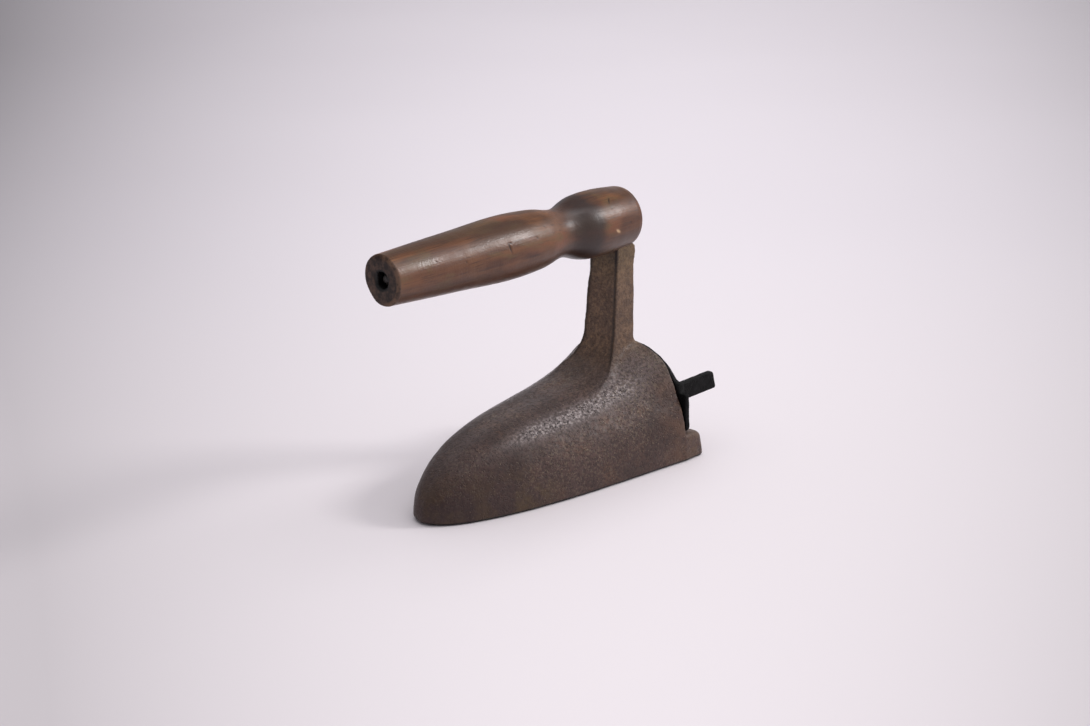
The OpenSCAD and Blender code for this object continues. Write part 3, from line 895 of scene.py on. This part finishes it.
def turned_wood(name):
    """Dark polished hardwood with long grain, scorched at the neck."""
    n = Nodes(name)
    x, y, z = (n.axis(axis) for axis in "XYZ")
    axis_z = HANDLE_H * MM
    rear = handle_low[0] * MM
    front = handle_high[0] * MM
    long_grain = n.noise(1, 5, 0.6, n.stretched((9, 190, 190)), 0.6)
    fine_grain = n.noise(1, 3, 0.6, n.stretched((60, 1500, 1500)))
    blotch = n.noise(26, 3, 0.55)
    colour = n.mix(n.ramp(long_grain, 0.25, 0.72), WOOD_DARK, WOOD_LIGHT)
    colour = n.mix(n.ramp(blotch, 0.45, 0.68, 0, 0.7), colour, WOOD_BLOTCH)
    colour = n.mix(n.ramp(fine_grain, 0.5, 0.72, 0, 0.6), colour, WOOD_PORE)
    # Redder and olive patches all over, dusky ones on top, and painted shade on the underside
    red = n.ramp(n.noise(1, 3, 0.6, n.stretched((26, 75, 75))), 0.5, 0.64, 0, 0.6)
    colour = n.mix(red, colour, WOOD_RED)
    olive = n.ramp(n.noise(1, 3, 0.6, n.stretched((34, 60, 90)), 0.4), 0.53, 0.66, 0, 0.6)
    colour = n.mix(olive, colour, WOOD_OLIVE)
    topside = n.ramp(z, axis_z + 0.006, axis_z + 0.013)
    dusky = n.ramp(n.noise(1, 3, 0.6, n.stretched((22, 90, 90))), 0.38, 0.58, 0, 0.7)
    colour = n.mix(n.times(topside, dusky), colour, WOOD_DUSKY)
    underside_shade = n.ramp(z, axis_z + 0.001, axis_z - 0.0065, 0, 0.6)
    colour = n.mix(underside_shade, colour, PAINTED_UNDERSIDE_SHADE)
    # The scorched band round the neck in front of the bulb
    edge = n.math("ADD", x, n.times(n.noise(90, 2), 0.008))
    band_in = n.ramp(edge, rear + 0.031, rear + 0.039)
    band_out = n.ramp(edge, rear + 0.066, rear + 0.046)
    band = n.times(band_in, band_out)
    colour = n.mix(n.times(band, 0.85), colour, SCORCH)
    # End grain at the front face
    ends = n.ramp(x, front - 0.0016, front - 0.0006)
    end_tone = n.mix(n.ramp(n.noise(330, 4, 0.65), 0.35, 0.7), END_GRAIN_DARK, END_GRAIN_LIGHT)
    colour = n.mix(ends, colour, end_tone)
    # The worn bevel at the front rim, and painted shade inside the counterbore
    offset = {"Y": y, "Z": n.math("SUBTRACT", z, FRONT_AXIS_Z * MM)}
    offset = n.add("ShaderNodeCombineXYZ", offset).outputs[0]
    from_axis = n.add("ShaderNodeVectorMath", {0: offset}, operation="LENGTH").outputs["Value"]
    bevel = n.times(n.ramp(from_axis, 0.0098, 0.011, 0, 0.8), n.ramp(y, -0.002, 0.005))
    bevel = n.times(bevel, n.times(ends, n.ramp(n.noise(420, 3), 0.4, 0.55, 0.3, 1)))
    colour = n.mix(bevel, colour, WORN_BEVEL)
    bore_shade = n.times(n.ramp(from_axis, 0.0058, 0.0046), n.ramp(x, 0.08, 0.082))
    colour = n.mix(bore_shade, colour, PAINTED_BORE_SHADE)
    colour = n.mix(n.attribute("nick"), colour, NICK)
    colour = n.mix(n.attribute("chip"), colour, CHIP)
    relief = n.bump(long_grain, 0.00025, 0.12)
    relief = n.bump(fine_grain, 0.00008, 0.6, relief)
    relief = n.bump(n.noise(160, 3, 0.6), 0.0003, 0.25, relief)
    relief = n.bump(n.noise(1, 2, 0.5, n.stretched((1300, 90, 90))), 0.00006, 0.5, relief)
    relief = n.bump(n.noise(900, 2), 0.00014, 0.6, relief)
    rough = n.ramp(n.noise(70, 4, 0.6), 0.3, 0.7, 0.31, 0.45)
    dull_ends = {"Factor": ends, "A": rough, "B": 0.8}
    rough = n.add("ShaderNodeMix", dull_ends, data_type="FLOAT").outputs["Result"]
    # The top is duller
    polish = n.ramp(z, axis_z + 0.0108, axis_z + 0.0138, 0.56, 0.16)
    return n.finish(Base_Color=colour, Roughness=rough, Normal=relief, Specular_IOR_Level=polish)


def keep(piece, name, values):
    """Keeps a value for each point of a piece, for its material."""
    layer = piece.data.attributes.new(name, "FLOAT", "POINT")
    layer.data.foreach_set("value", np.asarray(values, np.float32).ravel())


# Places round the dome in degrees, and heights on the post in millimetres
WEAR_SHEEN_TURN = 59
RIDGE_TURN = 92
RIDGE_WEAR_SHEEN = 0.22
SHADE_LINE_LOW_Z = 46
HEAD_SHADOW_Z = 96


def add_wear_and_shade(shell):
    """Keeps where the casting is rubbed along its shoulders and ridge, partly wear and partly a painted
    sheen, and where painted shade lies beside the post's edges and under the handle, with some stain."""
    flat = np.empty(len(shell.data.vertices) * 3)
    shell.data.vertices.foreach_get("co", flat)
    x, y, z = (flat.reshape(-1, 3) / MM).T
    share = np.clip((nose_x - x) / dome_l, 0.01, 1)
    wide = sole_half_w * plan_share(share) * np.sqrt(share)
    high = MOUTH_H * ridge_share(share) * np.sqrt(share)
    up = np.clip(z / high, 0, 1.05) ** (SECTION_POWER / 2)
    turn = np.degrees(np.arctan2(up, (np.abs(y) / wide) ** (SECTION_POWER / 2)))
    # The rubbed band, partly wear and partly a painted sheen, widens and fades towards the mouth
    rear = eased(share - 0.74, 0.22)
    spread = np.where(turn > WEAR_SHEEN_TURN, 10 + 14 * rear, 9 + 5 * rear)
    wear_sheen = np.exp(-(((turn - WEAR_SHEEN_TURN) / spread) ** 2))
    wear_sheen = wear_sheen * eased(share - 0.18, 0.3) * (1 - 0.75 * rear)
    # The ridge near the mouth gets a little of the same wear and painted sheen
    ridge = np.exp(-(((turn - RIDGE_TURN) / 10) ** 2)) * eased(0.8 - share, 0.3)
    wear_sheen = wear_sheen + RIDGE_WEAR_SHEEN * ridge
    keep(shell, "wear_sheen", wear_sheen * (z < high + 2))
    # Painted shade: a dark line beside the post's front edges, and a painted shadow on the post's head
    # under the handle, with some stain
    inside = post_half_w(z) - np.abs(y)
    line = np.exp(-(((inside - 1.1) / 0.9) ** 2)) + 0.15 * np.exp(-((inside / 5) ** 2))
    on_front = eased(x - post_front(z) + 2, 1.2)
    line = line * eased(z - SHADE_LINE_LOW_Z, 8) + 0.5 * eased(z - HEAD_SHADOW_Z, 10)
    keep(shell, "post_shade", line * on_front)


def paint(piece, material):
    piece.data.materials.clear()
    piece.data.materials.append(material)


# ---------------------------------------------------------------- camera, floor and light
CAMERA_TARGET = Vector((-7.3, 1.94, 59.82)) * MM
CAMERA_AZIMUTH = math.radians(44.7)
CAMERA_ELEVATION = math.radians(18.75)
CAMERA_ROLL = math.radians(-1.723)
CAMERA_DISTANCE = 0.95335
CAMERA_LENS = 62.75
LAMP_DISTANCE = 3


def make_camera():
    level = math.cos(CAMERA_ELEVATION)
    back = Vector((
        math.cos(CAMERA_AZIMUTH) * level,
        math.sin(CAMERA_AZIMUTH) * level,
        math.sin(CAMERA_ELEVATION),
    ))
    right = Vector((-math.sin(CAMERA_AZIMUTH), math.cos(CAMERA_AZIMUTH), 0))
    up = back.cross(right)
    turned_right = right * math.cos(CAMERA_ROLL) + up * math.sin(CAMERA_ROLL)
    turned_up = up * math.cos(CAMERA_ROLL) - right * math.sin(CAMERA_ROLL)
    data = bpy.data.cameras.new("camera")
    data.lens = CAMERA_LENS
    data.sensor_width = 36
    data.clip_end = 50
    camera = bpy.data.objects.new("camera", data)
    bpy.context.scene.collection.objects.link(camera)
    turn = Matrix((turned_right, turned_up, back)).transposed().to_4x4()
    camera.matrix_world = Matrix.Translation(CAMERA_TARGET + back * CAMERA_DISTANCE) @ turn
    bpy.context.scene.camera = camera


def area_light(name, towards, size, power, colour):
    """A square lamp in the given direction from the object, facing it."""
    data = bpy.data.lights.new(name, "AREA")
    data.shape = "SQUARE"
    data.size = size
    data.energy = power
    data.color = colour
    lamp = bpy.data.objects.new(name, data)
    bpy.context.scene.collection.objects.link(lamp)
    way = Vector(towards).normalized()
    turn = way.to_track_quat("Z", "Y").to_matrix().to_4x4()
    lamp.matrix_world = Matrix.Translation(CAMERA_TARGET + way * LAMP_DISTANCE) @ turn


# The floor, and the lit wedge painted on it, in metres
FLOOR_HALF_W = 8
FLOOR_DARK = (0.79, 0.745, 0.78)
FLOOR_LIGHT = (0.82, 0.775, 0.81)
FLOOR_NEAR_BOUNCE = (0.83, 0.78, 0.8)
FLOOR_PAINTED_SHADE = (0.02, 0.019, 0.02)
WEDGE_START = 0.9
WEDGE_MIDDLE = 0.035
WEDGE_HALF_W = 0.29


def make_floor():
    """A pale floor with painted light: its tone falls off to both sides, as a lit table's does, and is
    lighter and warmer near the object.
    """
    form = bmesh.new()
    bmesh.ops.create_grid(form, x_segments=8, y_segments=8, size=FLOOR_HALF_W)
    mesh = bpy.data.meshes.new("floor")
    form.to_mesh(mesh)
    form.free()
    floor = bpy.data.objects.new("floor", mesh)
    bpy.context.scene.collection.objects.link(floor)
    n = Nodes("floor")
    tone = n.noise(1.3, 2)
    cool = n.mix(n.ramp(tone, 0.3, 0.7), FLOOR_DARK, FLOOR_LIGHT)
    # Painted shade: it darkens away from a wedge that widens towards the far end
    along = (-math.cos(CAMERA_AZIMUTH), -math.sin(CAMERA_AZIMUTH), 0)
    across = (-math.sin(CAMERA_AZIMUTH), math.cos(CAMERA_AZIMUTH), 0)
    far = n.dot(along)
    # Painted light near the object: lighter and warmer, as bounce light
    colour = n.mix(n.ramp(far, 0.6, -0.1), cool, FLOOR_NEAR_BOUNCE)
    aside = n.math("DIVIDE", n.dot(across), n.math("ADD", far, WEDGE_START))
    aside = n.math("DIVIDE", n.math("SUBTRACT", aside, WEDGE_MIDDLE), WEDGE_HALF_W)
    depth = n.ramp(far, -0.3, 1.6, 0.24, 0.52)
    loss = n.times(n.math("POWER", n.math("ABSOLUTE", aside, 0), 2), depth)
    loss = n.math("MINIMUM", loss, n.ramp(far, -0.2, 1.3, 0.3, 0.7))
    loss = n.times(loss, n.ramp(far, -0.75, -0.35))
    colour = n.mix(loss, colour, FLOOR_PAINTED_SHADE)
    n.finish(Base_Color=colour, Roughness=0.7)
    n.shader.inputs["Specular IOR Level"].default_value = 0.2
    paint(floor, n.material)


def make_world():
    world = bpy.data.worlds.new("studio")
    world.use_nodes = True
    bpy.context.scene.world = world
    tree = world.node_tree
    background = tree.nodes["Background"]
    background.inputs["Color"].default_value = (0.93, 0.91, 0.96, 1)
    # The room is darker in front of the nose than behind the heel
    way = tree.nodes.new("ShaderNodeTexCoord").outputs["Generated"]
    split = tree.nodes.new("ShaderNodeSeparateXYZ")
    fade = tree.nodes.new("ShaderNodeMapRange")
    for key, value in (("From Min", 0.9), ("From Max", -0.8), ("To Min", 0.27), ("To Max", 0.68)):
        fade.inputs[key].default_value = value
    tree.links.new(way, split.inputs["Vector"])
    tree.links.new(split.outputs["X"], fade.inputs["Value"])
    tree.links.new(fade.outputs["Result"], background.inputs["Strength"])


# ---------------------------------------------------------------- the pieces
HANDLE_SEGMENTS = 240
SHELL_STEP = 0.65
GATE_STEP = 0.5
SLUG_STEP = 1.1


def make_castings(iron, black_iron, slug_iron):
    coarse = 1.0
    body = cast_piece(
        "shell", casting, body_low, body_high, SHELL_STEP * coarse,
        "iron", ["body"],
    )
    add_wear_and_shade(body)
    paint(body, iron)
    gate = cast_piece(
        "gate_plate", gate_casting, gate_low, gate_high, GATE_STEP * coarse,
        "gate", ["gate"],
    )
    paint(gate, black_iron)
    slug = cast_piece(
        "heater_slug", slug_block, slug_low, slug_high, SLUG_STEP * coarse,
        "slug", ["slug"],
    )
    paint(slug, slug_iron)


def make_handle(wood):
    handle = turned(
        "turned_handle", handle_profile(), HANDLE_SEGMENTS, handle_place(),
        "iron", ["handle"], worn_handle,
    )
    add_marks(handle, HANDLE_SEGMENTS)
    paint(handle, wood)


def make_rod(metal):
    """The tie rod with its thread, and the washer and the nut at the bottom of the counterbore."""
    front = HANDLE_L - ROD_RECESS
    floor_s = HANDLE_L - COUNTERBORE_DEPTH
    place = handle_place()
    plain = [(s, ROD_R) for s in (10, 60, 120, front - 18)]
    threaded = [(s, ROD_R) for s in np.arange(front - 17.5, front - 0.4, 0.14)]
    rod_profile = [(9.9, 0.5)] + plain + threaded + [(front, ROD_R - 0.4), (front, 0.3)]
    rod = turned("rod", rod_profile, 48, place, "iron", ["tie_rod"], thread)
    hole_r = ROD_R + FIT_GAP
    nut_s = floor_s + WASHER_T
    washer_profile = [
        (floor_s, hole_r), (floor_s, NUT_R - 0.1), (floor_s + 0.2, NUT_R),
        (nut_s - 0.2, NUT_R), (nut_s, NUT_R - 0.2), (nut_s, hole_r),
    ]
    washer = turned(
        "nut_washer", washer_profile, 64, place,
        "iron", ["rod_washer"],
    )
    top_s = nut_s + NUT_T
    nut_profile = [
        (nut_s, hole_r), (nut_s, NUT_R * 0.9), (nut_s + 0.3, NUT_R), (top_s - 0.3, NUT_R),
        (top_s, NUT_R * 0.88), (top_s, ROD_R + 0.4), (top_s - 0.3, hole_r),
    ]
    nut = turned(
        "hex_nut", nut_profile, 96, place,
        "iron", ["rod_nut"], hexagonal(NUT_R),
    )
    for piece in (rod, washer, nut):
        paint(piece, metal)


def make_rivet(metal):
    """The gate's rivet with its hammered head, and the washer under it."""
    head_x = washer_low[0]
    head_h = head_x - rivet_low[0]
    head_r = (rivet_high[1] - rivet_low[1]) / 2
    ball_r = (head_r**2 + head_h**2) / (2 * head_h)
    dome = []
    for height in np.linspace(0, 1, 10)[:-1] * head_h:
        dome.append((height, math.sqrt(ball_r**2 - (ball_r - head_h + height) ** 2)))
    shank_end = rivet_high[0] - head_x
    profile = [(-shank_end, 0.4), (-shank_end, RIVET_R), (-0.01, RIVET_R), (0, head_r * 0.98)]
    profile += dome[1:] + [(head_h * 0.995, 0.6)]
    rivet = turned(
        "rivet", profile, 64, along_x(head_x, pivot_y, pivot_z, True),
        "iron", ["gate_rivet"], hammered,
    )
    thickness = washer_high[0] - washer_low[0]
    outer = (washer_high[1] - washer_low[1]) / 2
    inner = RIVET_R + FIT_GAP
    edge = 0.25
    washer_profile = [
        (0, inner), (0, outer - edge), (edge, outer),
        (thickness - edge, outer), (thickness, outer - edge), (thickness, inner),
    ]
    washer = turned(
        "rivet_washer", washer_profile, 64, along_x(head_x, pivot_y, pivot_z),
        "iron", ["gate_washer"],
    )
    for piece in (rivet, washer):
        paint(piece, metal)


iron = shell_iron(
    "brown_iron",
    dark=(0.052, 0.027, 0.021), mid=(0.1, 0.056, 0.046),
    rust=(0.13, 0.062, 0.034), speck=(0.4, 0.3, 0.2), roughness=0.48, gloss=0.38,
)
black_iron = plain_iron(
    "black_iron",
    dark=(0.003, 0.003, 0.0032), mid=(0.006, 0.0055, 0.006),
    rust=(0.007, 0.006, 0.006), speck=(0.012, 0.011, 0.011), roughness=0.6, gloss=0.12,
)
slug_iron = plain_iron(
    "slug_iron",
    dark=(0.05, 0.044, 0.04), mid=(0.1, 0.085, 0.078),
    rust=(0.12, 0.07, 0.045), speck=(0.25, 0.22, 0.2), roughness=0.6, gloss=0.5,
)
fastener_iron = plain_iron(
    "fastener_iron",
    dark=(0.035, 0.03, 0.028), mid=(0.075, 0.065, 0.06),
    rust=(0.09, 0.05, 0.035), speck=(0.3, 0.28, 0.26), roughness=0.45, gloss=0.5,
)
wood = turned_wood("handle_wood")

make_castings(iron, black_iron, slug_iron)
make_handle(wood)
make_rod(fastener_iron)
make_rivet(fastener_iron)

make_camera()
make_floor()
make_world()
area_light("key", (-0.65, 0.57, 0.49), size=0.62, power=37, colour=(1.0, 0.98, 0.98))
area_light("upper", (-0.47, 0.18, 0.865), size=1.8, power=10, colour=(1.0, 0.98, 0.98))
area_light("top", (0.0, 0.0, 1.0), size=3, power=42, colour=(0.98, 0.97, 1.0))

scene = bpy.context.scene
scene.view_settings.view_transform = "Standard"
